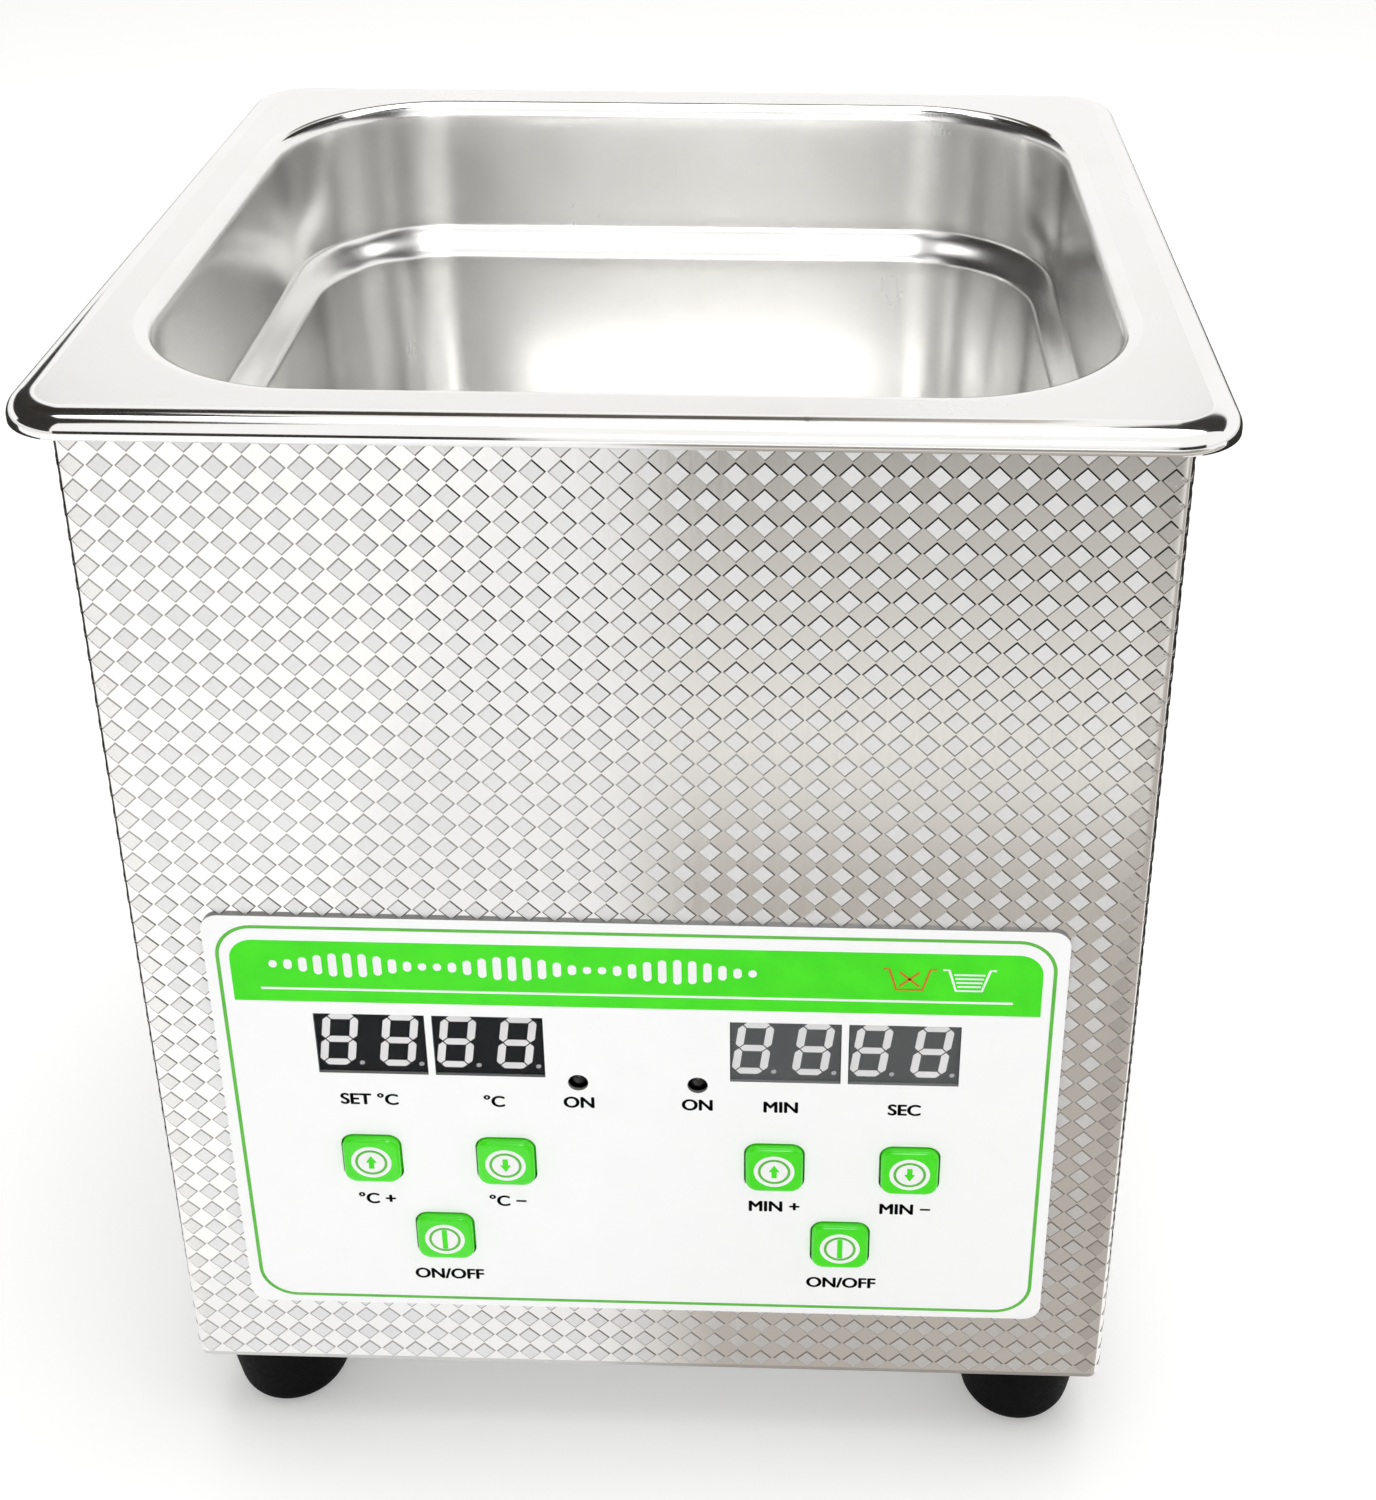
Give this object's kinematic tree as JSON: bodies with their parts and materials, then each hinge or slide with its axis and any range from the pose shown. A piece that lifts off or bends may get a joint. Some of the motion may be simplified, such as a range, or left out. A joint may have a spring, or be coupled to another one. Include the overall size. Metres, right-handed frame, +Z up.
{
  "type": "bench ultrasonic cleaner",
  "caption": "Heated bench ultrasonic cleaner: rolled-rim steel tank in a diamond-patterned steel casing with a digital panel of displays and push keys, on rubber feet.",
  "frame": {"origin": "on the bench under the middle of the rim", "axes": "+X to the right seen from the front, +Y from the front panel to the back, +Z up"},
  "size_m": [0.176, 0.162, 0.209],
  "materials": {
    "tank_steel": "satin drawn stainless sheet",
    "patterned_steel": "stainless sheet with a raised diamond pattern",
    "base_steel": "plain stainless sheet",
    "screw_steel": "zinc-plated steel",
    "steel_dark": "black-oxide steel",
    "silicone_white": "matt silicone",
    "silicone_red": "matt silicone heater mat",
    "rubber_black": "satin moulded rubber",
    "panel_white": "printed polycarbonate sheet",
    "lens_clear": "clear acrylic",
    "display_black": "black display face",
    "lamp_dark": "smoked lamp resin",
    "key_green": "moulded green keycap",
    "plastic_black": "moulded black plastic",
    "nylon_white": "nylon",
    "board_green": "solder-masked glass-fibre board",
    "aluminium_bare": "turned or extruded aluminium",
    "ceramic": "piezo ceramic",
    "brass_sheet": "bright brass",
    "ferrite": "ferrite",
    "copper_wire": "enamelled copper winding",
    "capacitor_sleeve": "shrink sleeve",
    "terminal_blue": "moulded terminal blocks",
    "ribbon_grey": "flat cable",
    "wire_red": "insulated wire"
  },
  "bodies": {
    "cleaner": {"tank": "tank_steel", "rim_gasket": "silicone_white", "casing_wrap": "patterned_steel", "rear_panel": "patterned_steel", "rear_screws": "screw_steel", "base_plate": "base_steel", "base_screws": "screw_steel", "foot_front_left": "rubber_black", "foot_front_right": "rubber_black", "foot_rear_left": "rubber_black", "foot_rear_right": "rubber_black", "foot_screws": "screw_steel", "foot_nuts": "screw_steel", "panel_overlay": "panel_white", "display_lens_left": "lens_clear", "display_lens_right": "lens_clear", "display_set_temp": "display_black", "display_temp": "display_black", "display_minutes": "display_black", "display_seconds": "display_black", "lamp_heat": "lamp_dark", "lamp_timer": "lamp_dark", "switch_bodies": "plastic_black", "control_board": "board_green", "board_spacers": "nylon_white", "board_nuts": "screw_steel", "board_parts": "plastic_black", "transducer_head": "aluminium_bare", "piezo_rings": "ceramic", "electrodes": "brass_sheet", "transducer_tail": "screw_steel", "transducer_bolt": "steel_dark", "heater_pad": "silicone_red", "thermal_cutout": "plastic_black", "temperature_sensor": "brass_sheet", "driver_board": "board_green", "driver_standoffs": "nylon_white", "heat_sink": "aluminium_bare", "power_transistors": "plastic_black", "inductor_core": "ferrite", "inductor_winding": "copper_wire", "capacitors": "capacitor_sleeve", "terminal_blocks": "terminal_blue", "mains_inlet": "plastic_black", "inlet_pins": "screw_steel", "inlet_fixings": "screw_steel", "ribbon_cable": "ribbon_grey", "wire_leads": "wire_red"},
    "button_temp_up": {"key_temp_up": "key_green", "stem_temp_up": "plastic_black"},
    "button_temp_down": {"key_temp_down": "key_green", "stem_temp_down": "plastic_black"},
    "button_heat": {"key_heat": "key_green", "stem_heat": "plastic_black"},
    "button_time_up": {"key_time_up": "key_green", "stem_time_up": "plastic_black"},
    "button_time_down": {"key_time_down": "key_green", "stem_time_down": "plastic_black"},
    "button_timer": {"key_timer": "key_green", "stem_timer": "plastic_black"}
  },
  "joints": [
    {"name": "press_temp_up", "type": "slide", "parent": "cleaner", "child": "button_temp_up", "axis": [0, 1, 0], "range_m": [0, 0.0006], "stiffness_N_per_m": 150, "springref_m": -0.004},
    {"name": "press_temp_down", "type": "slide", "parent": "cleaner", "child": "button_temp_down", "axis": [0, 1, 0], "range_m": [0, 0.0006], "stiffness_N_per_m": 150, "springref_m": -0.004},
    {"name": "press_heat", "type": "slide", "parent": "cleaner", "child": "button_heat", "axis": [0, 1, 0], "range_m": [0, 0.0006], "stiffness_N_per_m": 150, "springref_m": -0.004},
    {"name": "press_time_up", "type": "slide", "parent": "cleaner", "child": "button_time_up", "axis": [0, 1, 0], "range_m": [0, 0.0006], "stiffness_N_per_m": 150, "springref_m": -0.004},
    {"name": "press_time_down", "type": "slide", "parent": "cleaner", "child": "button_time_down", "axis": [0, 1, 0], "range_m": [0, 0.0006], "stiffness_N_per_m": 150, "springref_m": -0.004},
    {"name": "press_timer", "type": "slide", "parent": "cleaner", "child": "button_timer", "axis": [0, 1, 0], "range_m": [0, 0.0006], "stiffness_N_per_m": 150, "springref_m": -0.004}
  ]
}
